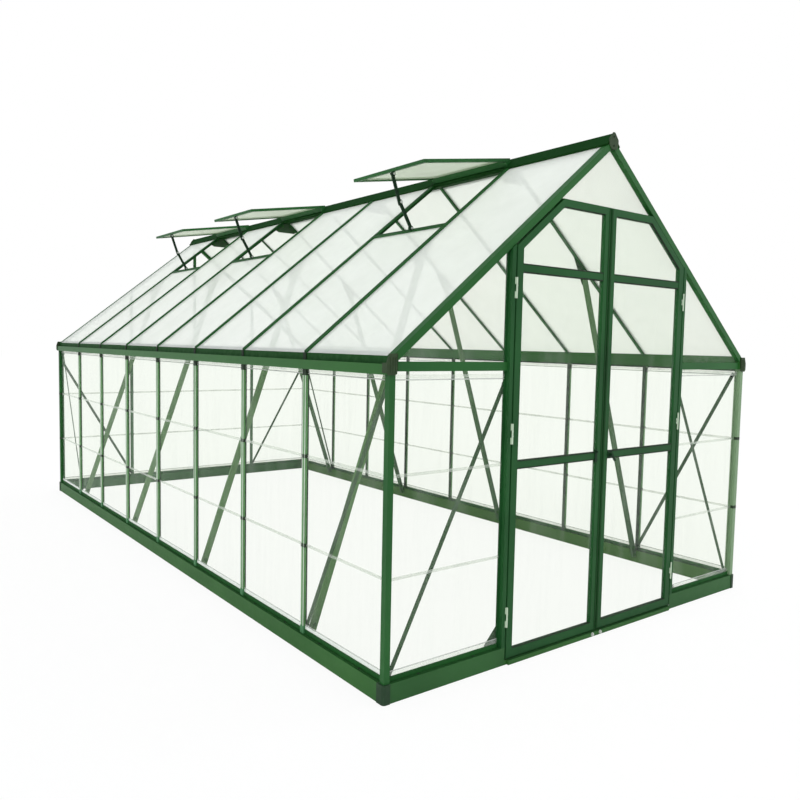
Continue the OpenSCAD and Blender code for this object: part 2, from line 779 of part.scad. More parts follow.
// ---- Doors ----
leaf_out = doorway_w / 2 - side_gap;
leaf_in = mid_gap / 2;
leaf_y0 = -half_l;
leaf_y1 = -half_l + leaf_t;
leaf_bottom = sill_h + leaf_gap;
leaf_top = header_top - leaf_gap - 2;
slant_top = under_rafter - leaf_gap / cos_p - 2.5;
slant_low = slant_top - slant_w / cos_p;
hinge_x = doorway_w / 2 - side_gap / 2;
hinge_y = -half_l - 4;
module under_line(top) {
    along_y(-half_l - 200, 0)
        polygon([[0, top], [half_w, top - tan_p * half_w], [half_w, 0], [0, 0]]);
}
module leaf_stiles(side) {
    color(green) mirror([side < 0 ? 1 : 0, 0, 0]) {
        intersection() {
            block([leaf_out - hinge_stile_w, leaf_y0, leaf_bottom], [leaf_out, leaf_y1, leaf_top]);
            under_line(slant_low);
        }
        block([leaf_in, leaf_y0, leaf_bottom], [leaf_in + meet_stile_w, leaf_y1, leaf_top]);
    }
}
module leaf_rails(side) {
    x0 = leaf_in + meet_stile_w;
    x1 = leaf_out - hinge_stile_w;
    color(green) mirror([side < 0 ? 1 : 0, 0, 0]) {
        block([x0, leaf_y0, leaf_bottom], [x1, leaf_y1, leaf_bottom + leaf_rail_h + 4]);
        block([x0, leaf_y0 + 2, mid_rail_z - 16], [x1, leaf_y1 - 2, mid_rail_z + 16]);
        block([x0, leaf_y0 + 2, upper_rail_z - 16], [x1, leaf_y1 - 2, upper_rail_z + 16]);
    }
}
module leaf_head(side) {
    x0 = leaf_in + meet_stile_w;
    color(green) mirror([side < 0 ? 1 : 0, 0, 0]) difference() {
        intersection() {
            block([x0, leaf_y0, base_h], [leaf_out, leaf_y1, leaf_top]);
            under_line(slant_top);
        }
        intersection() {
            block([x0 - 1, leaf_y0 - 1, 0], [leaf_out + 1, leaf_y1 + 1, leaf_top - leaf_rail_h]);
            along_y(-half_l - 200, 0)
                polygon([[-10, slant_low + 10 * tan_p], [half_w, slant_low - tan_p * half_w],
                    [half_w, 0], [-10, 0]]);
        }
    }
}
module leaf_sheets(side) {
    x0 = leaf_in + meet_stile_w;
    x1 = leaf_out - hinge_stile_w;
    y0 = leaf_y0 + 9;
    color(clear) mirror([side < 0 ? 1 : 0, 0, 0]) {
        block([x0, y0, leaf_bottom + leaf_rail_h + 4], [x1, y0 + sheet_t, mid_rail_z - 16]);
        block([x0, y0, mid_rail_z + 16], [x1, y0 + sheet_t, upper_rail_z - 16]);
        intersection() {
            block([x0, y0, upper_rail_z + 16], [x1, y0 + sheet_t, leaf_top - leaf_rail_h]);
            under_line(slant_low);
        }
    }
}
// One third of a hinge: knuckle and plate, towards -X, from height 0
module hinge_third(bore, inset) {
    difference() {
        union() {
            translate([0, 0, inset])
                cylinder(r = hinge_r, h = hinge_l / 3 - 2 * inset, $fn = 32);
            block([-hinge_plate, -hinge_y - half_l - 1.6, inset],
                [0, -hinge_y - half_l, hinge_l / 3 - inset]);
        }
        if (bore) translate([0, 0, -1])
            cylinder(r = pin_r + pin_play, h = hinge_l, $fn = 32);
    }
}
module leaf_hinges(side) {
    color(steel) mirror([side < 0 ? 1 : 0, 0, 0])
        for (z = hinge_z)
            translate([hinge_x, hinge_y, z - hinge_l / 6]) hinge_third(true, 0);
}
// Latch beside the meeting stile: the right leaf has a turning lever, the
// left leaf the taller keeper plate with a small pull
module leaf_handle(side) {
    x = leaf_in + meet_stile_w;
    front = leaf_y0 - 3;
    color(dark_green) {
        if (side > 0) {
            block([x, front, mid_rail_z - 15], [x + 32, leaf_y0 + 2, mid_rail_z + 15]);
            translate([x + 15, front, mid_rail_z]) rotate([90, 0, 0]) {
                cylinder(d = 15, h = 16, $fn = 32);
                translate([0, 0, 10]) linear_extrude(6) rotate(-52) {
                    circle(d = 13, $fn = 24);
                    translate([0, -5]) square([lever_l, 10]);
                    translate([lever_l, 0]) circle(d = 10, $fn = 24);
                }
            }
        }
        if (side < 0) {
            block([-x - 14, front, mid_rail_z - 30], [-x, leaf_y0 + 2, mid_rail_z + 30]);
            translate([-x - 7, front, mid_rail_z + 20]) rotate([90, 0, 0])
                cylinder(d = 9, h = 9, $fn = 32);
        }
    }
}
module door_hinge_knuckles() {
    color(steel) for (side = [0, 1], z = hinge_z) mirror([side, 0, 0])
        translate([hinge_x, hinge_y, z]) {
            for (k = [-1.5, 0.5])
                translate([0, 0, k * hinge_l / 3]) mirror([1, 0, 0])
                    hinge_third(false, 0.5);
            translate([0, 0, -hinge_l / 6 - 1])
                cylinder(r = pin_r, h = hinge_l / 3 + 2, $fn = 32);
        }
}
module left_door_stiles() { leaf_stiles(-1); }
module left_door_rails() { leaf_rails(-1); }
module left_door_head() { leaf_head(-1); }
module left_door_sheets() { leaf_sheets(-1); }
module left_door_hinges() { leaf_hinges(-1); }
module left_door_handle() { leaf_handle(-1); }
module right_door_stiles() { leaf_stiles(1); }
module right_door_rails() { leaf_rails(1); }
module right_door_head() { leaf_head(1); }
module right_door_sheets() { leaf_sheets(1); }
module right_door_hinges() { leaf_hinges(1); }
module right_door_handle() { leaf_handle(1); }

base_side_rails();
base_end_rails();
base_corners();
door_threshold();
corner_posts();
side_wall_posts();
rear_wall_posts();
door_posts();
gutters();
eave_corners();
gable_eave_rails();
door_header();
gable_rafters();
roof_bars();
ridge_beam();
ridge_caps();
side_wall_sheets();
rear_wall_sheets();
front_wall_sheets();
gable_sheets();
sheet_strips();
left_roof_sheets();
right_roof_sheets();
vent_sash_sides();
vent_sash_ends();
vent_sheets();
vent_sills();
vent_stays();
frame_struts();
joint_plates();
corner_braces();
door_hinge_knuckles();
left_door_stiles();
left_door_rails();
left_door_head();
left_door_sheets();
left_door_hinges();
left_door_handle();
right_door_stiles();
right_door_rails();
right_door_head();
right_door_sheets();
right_door_hinges();
right_door_handle();
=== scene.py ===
import json
import math

import bpy
import numpy as np
from mathutils import Matrix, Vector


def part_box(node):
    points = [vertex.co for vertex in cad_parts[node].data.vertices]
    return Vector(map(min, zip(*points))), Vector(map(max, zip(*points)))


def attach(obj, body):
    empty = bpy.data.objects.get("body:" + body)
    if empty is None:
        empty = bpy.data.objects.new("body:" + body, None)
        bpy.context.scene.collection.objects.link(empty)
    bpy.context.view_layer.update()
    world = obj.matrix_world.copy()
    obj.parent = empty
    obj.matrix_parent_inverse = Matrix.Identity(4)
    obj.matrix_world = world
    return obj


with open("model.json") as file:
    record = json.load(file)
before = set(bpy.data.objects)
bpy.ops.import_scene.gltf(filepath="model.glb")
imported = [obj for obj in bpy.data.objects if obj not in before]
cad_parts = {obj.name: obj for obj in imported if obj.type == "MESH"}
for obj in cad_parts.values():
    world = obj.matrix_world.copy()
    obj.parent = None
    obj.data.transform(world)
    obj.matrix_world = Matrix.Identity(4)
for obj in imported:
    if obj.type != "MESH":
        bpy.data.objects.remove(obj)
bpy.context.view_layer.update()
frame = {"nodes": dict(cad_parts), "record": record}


# ---- Camera and studio -------------------------------------------------------

def srgb(code):
    """Linear RGBA of a #rrggbb colour, by the sRGB curve."""
    c = np.array([int(code[i:i + 2], 16) for i in (1, 3, 5)]) / 255
    lin = np.where(c <= 0.04045, c / 12.92, ((c + 0.055) / 1.055) ** 2.4)
    return tuple(float(v) for v in lin) + (1.0,)


def add(tree, kind, links=None, **settings):
    """Adds one shader node. links maps an input's name or number to a value or to
    another node's output socket; settings are the node's own properties."""
    n = tree.nodes.new(kind)
    for key, value in settings.items():
        setattr(n, key, value)
    for key, value in (links or {}).items():
        if isinstance(value, bpy.types.NodeSocket):
            tree.links.new(value, n.inputs[key])
        else:
            n.inputs[key].default_value = value
    return n


def new_material(name):
    """An empty node material: returns the material, its tree and its output node."""
    m = bpy.data.materials.new(name)
    m.use_nodes = True
    m.node_tree.nodes.clear()
    return m, m.node_tree, m.node_tree.nodes.new("ShaderNodeOutputMaterial")


def camera():
    """Camera in front of the left corner. Azimuth and elevation, in degrees, turn the view
    and a small roll levels it; the lens and the sensor are in millimetres."""
    azimuth, elevation, roll = map(math.radians, (37.6885, -4.1671, 1.1749))
    stand = (-2.8328, -4.6201, 1.3394)
    level = math.cos(elevation)
    fwd = np.array([math.sin(azimuth) * level, math.cos(azimuth) * level,
                    math.sin(elevation)])
    right = np.array([math.cos(azimuth), -math.sin(azimuth), 0.0])
    up = np.cross(right, fwd)
    x = right * math.cos(roll) + up * math.sin(roll)
    y = -right * math.sin(roll) + up * math.cos(roll)
    data = bpy.data.cameras.new("camera")
    data.sensor_width = 36.0
    data.lens = 33.876
    data.shift_x = -0.0084
    data.clip_end = 200.0
    cam = bpy.data.objects.new("camera", data)
    m = np.eye(4)
    m[:3, 0], m[:3, 1], m[:3, 2], m[:3, 3] = x, y, -fwd, stand
    cam.matrix_world = Matrix(m.tolist())
    bpy.context.scene.collection.objects.link(cam)
    bpy.context.scene.camera = cam


def studio():
    """White world and floor. What camera and transmission rays see is plain white, while
    the light itself is a soft level sky with two broad lamps, one from each side."""
    sky_power = 0.86
    floor_glow = 0.89  # share of the floor's own white in what the camera sees
    floor_reach = 60.0
    floor_drop = 0.001  # keeps the floor clear of the base's underside
    world = bpy.data.worlds.new("studio_white")
    bpy.context.scene.world = world
    world.use_nodes = True
    t = world.node_tree
    t.nodes.clear()
    path = add(t, "ShaderNodeLightPath")
    seen = add(t, "ShaderNodeMath", {0: path.outputs["Is Camera Ray"],
                                     1: path.outputs["Is Transmission Ray"]},
               operation="ADD", use_clamp=True)
    sky = add(t, "ShaderNodeBackground", {"Color": srgb("#f6f8ff"), "Strength": sky_power})
    white = add(t, "ShaderNodeBackground", {"Color": (1, 1, 1, 1), "Strength": 1.0})
    mix = add(t, "ShaderNodeMixShader", {0: seen.outputs[0], 1: sky.outputs[0],
                                         2: white.outputs[0]})
    add(t, "ShaderNodeOutputWorld", {"Surface": mix.outputs[0]})

    m, t, out = new_material("floor_white")
    path = add(t, "ShaderNodeLightPath")
    paint = add(t, "ShaderNodeBsdfDiffuse", {"Color": srgb("#f4f5f1")})
    glow = add(t, "ShaderNodeEmission", {"Color": (1, 1, 1, 1), "Strength": 1.0})
    share = add(t, "ShaderNodeMath", {0: path.outputs["Is Camera Ray"], 1: floor_glow},
                operation="MULTIPLY")
    mix = add(t, "ShaderNodeMixShader", {0: share.outputs[0], 1: paint.outputs[0],
                                         2: glow.outputs[0]})
    t.links.new(mix.outputs[0], out.inputs["Surface"])
    me = bpy.data.meshes.new("floor")
    ends = ((-1, -1), (1, -1), (1, 1), (-1, 1))
    me.from_pydata([(x * floor_reach, y * floor_reach, -floor_drop) for x, y in ends], [],
                   [(0, 1, 2, 3)])
    me.materials.append(m)
    floor = bpy.data.objects.new("floor", me)
    bpy.context.scene.collection.objects.link(floor)

    # Each lamp's turn and apparent width are in degrees.
    lamps = (("lamp_left", (52, 0, -62), 1.05, 35), ("lamp_right", (58, 0, 90), 1.0, 60))
    for name, turn, power, angle in lamps:
        lamp = bpy.data.lights.new(name, "SUN")
        lamp.energy = power
        lamp.angle = math.radians(angle)
        o = bpy.data.objects.new(name, lamp)
        o.rotation_euler = [math.radians(v) for v in turn]
        bpy.context.scene.collection.objects.link(o)
    bpy.context.scene.view_settings.view_transform = "Standard"


# ---- Forms -------------------------------------------------------------------

def turned(radii, heights, sides=12, flats=0):
    """Turned form. Point (i, j) lies at height heights[i] and radius radii[i], turned by
    j / sides of a circle; with flats = 6 the radius grows towards six corners by one over
    the cosine of the angle from the nearest flat. The last ring is closed by one face."""
    j = np.arange(sides) * 2 * np.pi / sides
    grow = np.ones(sides)
    if flats:
        a = 2 * np.pi / flats
        grow = 1 / np.cos((j + a / 2) % a - a / 2)
    r = np.asarray(radii)[:, None] * grow[None, :]
    z = np.repeat(np.asarray(heights)[:, None], sides, 1)
    v = np.stack([r * np.cos(j), r * np.sin(j), z], -1).reshape(-1, 3)
    i, k = np.meshgrid(np.arange(len(radii) - 1), np.arange(sides), indexing="ij")
    n = (k + 1) % sides
    quads = np.stack([i * sides + k, i * sides + n, (i + 1) * sides + n,
                      (i + 1) * sides + k], -1).reshape(-1, 4)
    cap = (len(radii) - 1) * sides + np.arange(sides)
    return v, [quads, cap[None, :]]


def carried(profile, start, end, side):
    """Closed profile carried along straight paths. Point (u, w) of the profile stands u
    along each path's side direction and w along path x side; both ends are closed."""
    p = np.asarray(profile, float)
    a, b = np.atleast_2d(start).astype(float), np.atleast_2d(end).astype(float)
    s = np.broadcast_to(np.asarray(side, float), a.shape)
    d = (b - a) / np.linalg.norm(b - a, axis=1, keepdims=True)
    s = s - d * np.sum(s * d, 1, keepdims=True)
    s /= np.linalg.norm(s, axis=1, keepdims=True)
    w = np.cross(d, s)
    off = p[None, :, 0, None] * s[:, None] + p[None, :, 1, None] * w[:, None]
    v = np.stack([a[:, None] + off, b[:, None] + off], 1)
    m = len(p)
    k = np.arange(m)
    n = (k + 1) % m
    quads = np.stack([k, n, m + n, m + k], -1)
    lift = (np.arange(len(a)) * 2 * m)[:, None, None]
    caps = np.stack([k[::-1], m + k])
    return v.reshape(-1, 3), [(quads[None] + lift).reshape(-1, 4),
                              (caps[None] + lift).reshape(-1, m)]


def repeated(form, spots, axis):
    """Copies of one form: its Z is turned to axis at every spot, and its X to whatever is
    left of a fixed skew direction once the part along the axis is taken off."""
    skew = (0.31, 0.95, 0.07)
    v, faces = form
    spots = np.atleast_2d(spots).astype(float)
    z = np.broadcast_to(np.asarray(axis, float), spots.shape)
    z = z / np.linalg.norm(z, axis=1, keepdims=True)
    x = np.broadcast_to(np.asarray(skew, float), spots.shape)
    x = x - z * np.sum(x * z, 1, keepdims=True)
    x /= np.linalg.norm(x, axis=1, keepdims=True)
    y = np.cross(z, x)
    rot = np.stack([x, y, z], 1)
    out = np.einsum("vi,kij->kvj", v, rot) + spots[:, None]
    lift = (np.arange(len(spots)) * len(v))[:, None, None]
    return out.reshape(-1, 3), [(f[None] + lift).reshape(-1, f.shape[1]) for f in faces]


def joined(*forms):
    """Several forms as one."""
    verts, faces, n = [], [], 0
    for v, fs in forms:
        verts.append(v)
        faces += [f + n for f in fs]
        n += len(v)
    return np.concatenate(verts), faces


def piece(name, form, material, body="house"):
    """Puts a form into the scene as a piece that rides on a body."""
    v, faces = form
    me = bpy.data.meshes.new(name)
    me.from_pydata(v.tolist(), [], [f for part in faces for f in part.tolist()])
    me.materials.append(material)
    me.update()
    o = bpy.data.objects.new(name, me)
    bpy.context.scene.collection.objects.link(o)
    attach(o, body)


def rounded(w, h, r, n=3):
    """Rectangle profile w by h about the origin with its corners rounded by r: a quarter
    circle of n points at each corner."""
    a = np.linspace(0, np.pi / 2, n)
    q = np.stack([np.cos(a), np.sin(a)], -1) * r
    turn = np.array([[0, -1], [1, 0]])
    parts, s = [], np.array([[w / 2 - r, h / 2 - r], [-w / 2 + r, h / 2 - r],
                             [-w / 2 + r, -h / 2 + r], [w / 2 - r, -h / 2 + r]])
    for k in range(4):
        parts.append(q + s[k])
        q = q @ turn.T
    return np.concatenate(parts)


def both(points):
    """Points and their mirror images across the ridge."""
    p = np.atleast_2d(points).astype(float)
    return np.concatenate([p, p * (-1, 1, 1)])


# ---- Materials ---------------------------------------------------------------

def powder_coat(name, face, shade, painted_shade="#0e3f12", rough=0.42, up_shade=0.95, gloss=0.2,
                shade_band=None, right_tone=None):
    """Green powder coat baked on aluminium or galvanised steel: an even satin green with
    slow drifts of tone, a fine orange peel of about 2 mm, and painted shade: faces that look
    up are drawn patchily deeper and a little duller than the rest, up to a given share. A
    pair (low, high) adds the same painted shade where the distance sideways from the ridge
    lies between the two: in a gutter, or on the inner side of a wall post. A colour for the
    right-hand side is what the coat shifts to there. gloss is the strength of the shine."""
    m, t, out = new_material(name)
    at = add(t, "ShaderNodeTexCoord").outputs["Object"]
    drift = add(t, "ShaderNodeTexNoise", {"Vector": at, "Scale": 2.6, "Detail": 4.0})
    tone = add(t, "ShaderNodeMapRange", {"Value": drift.outputs[0], "From Min": 0.35,
                                         "From Max": 0.65})
    base = add(t, "ShaderNodeMix", {0: tone.outputs[0], 6: srgb(shade), 7: srgb(face)},
               data_type="RGBA")
    place = add(t, "ShaderNodeSeparateXYZ", {0: at})
    # The coat's colour shifts towards a second colour on the right-hand side of the house.
    if right_tone:
        side = add(t, "ShaderNodeMapRange", {"Value": place.outputs["X"], "From Min": 0.4,
                                             "From Max": 1.1, "To Max": 0.85})
        base = add(t, "ShaderNodeMix", {0: side.outputs[0], 6: base.outputs[2],
                                        7: srgb(right_tone)}, data_type="RGBA")
    # Painted shade: faces that look up are drawn deeper and duller, in patches, up to a
    # given share.
    up = add(t, "ShaderNodeSeparateXYZ",
             {0: add(t, "ShaderNodeNewGeometry").outputs["Normal"]})
    mottle = add(t, "ShaderNodeTexNoise", {"Vector": at, "Scale": 38.0, "Detail": 6.0})
    patchy = add(t, "ShaderNodeMapRange", {"Value": mottle.outputs[0], "From Min": 0.3,
                                          "From Max": 0.6, "To Min": 0.75})
    lies = add(t, "ShaderNodeMapRange", {"Value": up.outputs["Z"], "From Min": 0.3,
                                         "From Max": 0.8, "To Max": up_shade})
    # Painted shade in a band of distances from the ridge: inside a gutter, or on the inner
    # side of a wall post.
    if shade_band:
        far = add(t, "ShaderNodeMath", {0: place.outputs["X"]}, operation="ABSOLUTE")
        inner = add(t, "ShaderNodeMath", {0: far.outputs[0], 1: shade_band[0]},
                    operation="GREATER_THAN")
        outer = add(t, "ShaderNodeMath", {0: far.outputs[0], 1: shade_band[1]},
                    operation="LESS_THAN")
        inside = add(t, "ShaderNodeMath", {0: inner.outputs[0], 1: outer.outputs[0]},
                     operation="MULTIPLY")
        lies = add(t, "ShaderNodeMath", {0: lies.outputs[0], 1: inside.outputs[0]},
                   operation="MAXIMUM")
    lies = add(t, "ShaderNodeMath", {0: lies.outputs[0], 1: patchy.outputs[0]},
               operation="MULTIPLY")
    shaded_coat = add(t, "ShaderNodeMix", {0: lies.outputs[0], 6: base.outputs[2],
                                    7: srgb(painted_shade)}, data_type="RGBA")
    peel = add(t, "ShaderNodeTexNoise", {"Vector": at, "Scale": 500.0, "Detail": 2.0})
    bump = add(t, "ShaderNodeBump", {"Height": peel.outputs[0], "Strength": 0.12,
                                     "Distance": 0.0006})
    grip = add(t, "ShaderNodeMapRange", {"Value": mottle.outputs[0], "To Min": rough - 0.05,
                                         "To Max": rough + 0.09})
    grip = add(t, "ShaderNodeMath", {0: lies.outputs[0], 1: 0.3, 2: grip.outputs[0]},
               operation="MULTIPLY_ADD")
    s = add(t, "ShaderNodeBsdfPrincipled",
            {"Base Color": shaded_coat.outputs[2], "Roughness": grip.outputs[0],
             "Normal": bump.outputs[0], "IOR": 1.48, "Specular IOR Level": gloss})
    t.links.new(s.outputs[0], out.inputs["Surface"])
    return m


def moulded(name, face, shade, rough=0.55, grain=900.0):
    """Injection-moulded polypropylene: matt, with a fine spark-eroded grain of about 1 mm
    and slightly paler, rubbed patches."""
    m, t, out = new_material(name)
    at = add(t, "ShaderNodeTexCoord").outputs["Object"]
    rub = add(t, "ShaderNodeTexNoise", {"Vector": at, "Scale": 30.0, "Detail": 5.0})
    base = add(t, "ShaderNodeMix", {"Factor": rub.outputs[0]}, data_type="RGBA")
    base.inputs[6].default_value = srgb(shade)
    base.inputs[7].default_value = srgb(face)
    pits = add(t, "ShaderNodeTexNoise", {"Vector": at, "Scale": grain, "Detail": 1.0})
    bump = add(t, "ShaderNodeBump", {"Height": pits.outputs[0], "Strength": 0.25,
                                     "Distance": 0.0004})
    s = add(t, "ShaderNodeBsdfPrincipled",
            {"Base Color": base.outputs[2], "Roughness": rough, "Normal": bump.outputs[0],
             "IOR": 1.49, "Specular IOR Level": 0.2})
    t.links.new(s.outputs[0], out.inputs["Surface"])
    return m


def bright_metal(name, face, rough=0.34, metal=1.0):
    """Zinc-plated or stainless steel of screws and bolts: a pale grey metal with faint
    clouding of the plating."""
    m, t, out = new_material(name)
    at = add(t, "ShaderNodeTexCoord").outputs["Object"]
    cloud = add(t, "ShaderNodeTexNoise", {"Vector": at, "Scale": 160.0, "Detail": 4.0})
    grip = add(t, "ShaderNodeMapRange", {"Value": cloud.outputs[0], "To Min": rough - 0.08,
                                         "To Max": rough + 0.1})
    s = add(t, "ShaderNodeBsdfPrincipled",
            {"Base Color": srgb(face), "Metallic": metal, "Roughness": grip.outputs[0]})
    t.links.new(s.outputs[0], out.inputs["Surface"])
    return m


def clear_sheet(name, haze, tint, scuff=0.05, rough=0.12, lean=0.16, seen="#fdfefc"):
    """Solid clear polycarbonate sheet: nearly invisible face on, with a faint green cast
    on what is seen through it, a veil of fine scuffs and dust streaks that run down, long
    slow waves in the surface and a hard gloss. haze is the share of light that one face
    stops, lean the further share that it stops when seen edge on."""
    m, t, out = new_material(name)
    at = add(t, "ShaderNodeTexCoord").outputs["Object"]
    long = add(t, "ShaderNodeMapping", {"Vector": at, "Scale": (9.0, 9.0, 1.1)})
    streak = add(t, "ShaderNodeTexNoise", {"Vector": long.outputs[0], "Scale": 1.0,
                                           "Detail": 5.0, "Roughness": 0.62})
    veil = add(t, "ShaderNodeMapRange", {"Value": streak.outputs[0], "From Min": 0.48,
                                         "From Max": 0.78, "To Max": scuff})
    stop = add(t, "ShaderNodeMath", {0: veil.outputs[0], 1: haze}, operation="ADD")
    edge = add(t, "ShaderNodeLayerWeight", {"Blend": 0.5})
    edge = add(t, "ShaderNodeMath", {0: edge.outputs["Facing"], 1: 4.0}, operation="POWER")
    edge = add(t, "ShaderNodeMath", {0: edge.outputs[0], 1: lean}, operation="MULTIPLY")
    stop = add(t, "ShaderNodeMath", {0: stop.outputs[0], 1: edge.outputs[0]},
               operation="ADD", use_clamp=True)
    body = add(t, "ShaderNodeMix", {0: streak.outputs[0], 6: srgb(tint),
                                    7: srgb("#eef2ea")}, data_type="RGBA")
    wave = add(t, "ShaderNodeTexNoise", {"Vector": at, "Scale": 7.0, "Detail": 1.0})
    bump = add(t, "ShaderNodeBump", {"Height": wave.outputs[0], "Strength": 0.35,
                                     "Distance": 0.006})
    skin = add(t, "ShaderNodeBsdfPrincipled",
               {"Base Color": body.outputs[2], "Roughness": rough,
                "Normal": bump.outputs[0], "IOR": 1.58})
    clear = add(t, "ShaderNodeBsdfTransparent", {"Color": srgb(seen)})
    mix = add(t, "ShaderNodeMixShader", {0: stop.outputs[0], 1: clear.outputs[0],
                                         2: skin.outputs[0]})
    t.links.new(mix.outputs[0], out.inputs["Surface"])
    return m


def twin_wall(name, stop, tint, pale, flute=0.010):
    """Twin-wall polycarbonate roof sheet: two thin skins tied by webs, so it is milky,
    shows what is behind it as a shadow, and carries fine flutes down the slope. The real
    webs stand 6 mm apart; they are drawn 10 mm apart so that they show. Condensation
    leaves soft clouds. stop is the share of light that one face stops."""
    m, t, out = new_material(name)
    at = add(t, "ShaderNodeTexCoord").outputs["Object"]
    place = add(t, "ShaderNodeSeparateXYZ", {0: at})
    turn = add(t, "ShaderNodeMath", {0: place.outputs["Y"], 1: 2 * math.pi / flute},
               operation="MULTIPLY")
    web = add(t, "ShaderNodeMath", {0: turn.outputs[0]}, operation="SINE")
    line = add(t, "ShaderNodeMapRange", {"Value": web.outputs[0], "From Min": 0.55,
                                         "From Max": 1.0, "To Max": 0.05})
    cloud = add(t, "ShaderNodeTexNoise", {"Vector": at, "Scale": 2.3, "Detail": 5.0,
                                          "Roughness": 0.55})
    fog = add(t, "ShaderNodeMapRange", {"Value": cloud.outputs[0], "From Min": 0.35,
                                        "From Max": 0.7, "To Min": -0.03, "To Max": 0.05})
    a = add(t, "ShaderNodeMath", {0: line.outputs[0], 1: fog.outputs[0]}, operation="ADD")
    a = add(t, "ShaderNodeMath", {0: a.outputs[0], 1: stop}, operation="ADD",
            use_clamp=True)
    body = add(t, "ShaderNodeMix", {"Factor": cloud.outputs[0]}, data_type="RGBA")
    body.inputs[6].default_value = srgb(tint)
    body.inputs[7].default_value = srgb(pale)
    bump = add(t, "ShaderNodeBump", {"Height": web.outputs[0], "Strength": 0.25,
                                     "Distance": 0.0006})
    skin = add(t, "ShaderNodeBsdfPrincipled",
               {"Base Color": body.outputs[2], "Roughness": 0.3, "IOR": 1.58,
                "Normal": bump.outputs[0]})
    glow = add(t, "ShaderNodeBsdfTranslucent", {"Color": body.outputs[2]})
    milky = 0.4  # share of what the sheet stops that glows through to the other side
    milk = add(t, "ShaderNodeMixShader", {0: milky, 1: skin.outputs[0],
                                          2: glow.outputs[0]})
    clear = add(t, "ShaderNodeBsdfTransparent", {"Color": srgb("#fcfdfb")})
    mix = add(t, "ShaderNodeMixShader", {0: a.outputs[0], 1: clear.outputs[0],
                                         2: milk.outputs[0]})
    t.links.new(mix.outputs[0], out.inputs["Surface"])
    return m


# Distances sideways from the ridge, in metres: inside a gutter's walls, and the inner side
# of a wall post, where the coat gets painted shade.
in_gutter = (1.2119, 1.2362)
in_house = (0.0, 1.2034)

# Bars, posts and rails: the same coat everywhere, in slightly different colours part by
# part. Faces that look up carry painted shade, and some parts are drawn paler or darker as
# painted light and shade, as noted beside them.
green_aluminium = powder_coat("powder_coated_aluminium", "#225b27", "#1c5122")
green_rafter = powder_coat("powder_coated_rafter", "#205a24", "#1a501e", up_shade=0.25)
green_door = powder_coat("powder_coated_door", "#1e5126", "#184620", gloss=0.15)
green_corner = powder_coat("powder_coated_corner_post", "#225b27", "#1c5122",
                           right_tone="#7d9775")
green_brace = powder_coat("powder_coated_brace", "#3f583e", "#374e36", gloss=0.1)
# The meeting strip is a real cover strip, drawn very dark: painted shade of the gap between
# the leaves.
green_strip = powder_coat("meeting_strip_painted_shade", "#0d3b13", "#0a3310", gloss=0.1)
green_strut = powder_coat("powder_coated_strut", "#597d4d", "#507345", painted_shade="#47693a",
                          right_tone="#3f5640")
# Wall posts are drawn paler than the other bars: painted light on their lit faces. Their
# inner side and the faces that look up are drawn dark: painted shade.
green_post = powder_coat("wall_post_coat_painted_light_and_shade", "#5a8a54", "#527f4d", gloss=0.5,
                         painted_shade="#243226", shade_band=in_house)
green_steel = powder_coat("powder_coated_steel", "#2f6029", "#295824", rough=0.48)
green_side = powder_coat("powder_coated_side_rail", "#2f6029", "#295824", rough=0.48,
                         right_tone="#456a34")
# The end rails are drawn a little darker than the side rails: painted shade on the front
# face.
green_end = powder_coat("end_rail_coat_painted_shade", "#2c5a2c", "#265227", rough=0.48)
foot_metal = powder_coat("coated_post_foot", "#4b8256", "#43764d", painted_shade="#2c5c30")
# The gutter's trough is drawn darker: painted shade in the recess.
green_gutter = powder_coat("powder_coated_gutter", "#2a5f27", "#265823", shade_band=in_gutter)
# The ridge is drawn very dark and dull: painted shade under the vent sashes.
green_ridge = powder_coat("ridge_coat_painted_shade", "#123c12", "#0f350f", rough=0.6,
                          gloss=0.05, painted_shade="#0b3410")
dark_fitting = powder_coat("dark_coated_fitting", "#193320", "#142a19", gloss=0.1)
# Small mouldings are darker than the coat and matt; screws and hinges are the only pale
# metal.
cap_plastic = moulded("moulded_polypropylene", "#33452b", "#26361f")
corner_plastic = moulded("moulded_corner_piece", "#26402a", "#1f3521")
clip_plastic = moulded("moulded_clip_plastic", "#2b3c2b", "#22301f")
rubber = moulded("black_glazing_rubber", "#20301f", "#182618", rough=0.62, grain=700.0)
hinge_metal = bright_metal("painted_hinge_metal", "#b7c8af", rough=0.45, metal=0.0)
zinc = bright_metal("zinc_plated_steel", "#cfd2cc")
# Sheets, from nearly invisible to milky.
wall_sheet = clear_sheet("clear_polycarbonate", 0.012, "#dfe9dc")
gable_sheet = clear_sheet("clear_polycarbonate_gable", 0.025, "#eef3ec", seen="#fefefd")
strip_plastic = clear_sheet("clear_joining_strip", 0.14, "#c9d1c6", scuff=0.2, lean=0.4)
edge_plastic = clear_sheet("milky_edging", 0.70, "#f1f5ef", scuff=0.15, lean=0.2)
# The glazing beads on the posts are drawn pale and nearly opaque: a real bead, with a
# painted highlight along the post's edge.
post_plastic = clear_sheet("glazing_bead_painted_highlight", 0.80, "#d5e2cf", scuff=0.1, lean=0.1)
bead_plastic = clear_sheet("grey_bead", 0.55, "#8b9189", scuff=0.1, lean=0.3)
roof_sheet = twin_wall("twin_wall_polycarbonate", 0.6, "#f4f7f1", "#fcfdfa")
# The vent sheets are the roof's twin wall tinted darker grey-green: painted shade.
sash_sheet = twin_wall("twin_wall_vent_painted_shade", 0.5, "#b4c3a7", "#cbd7c1")

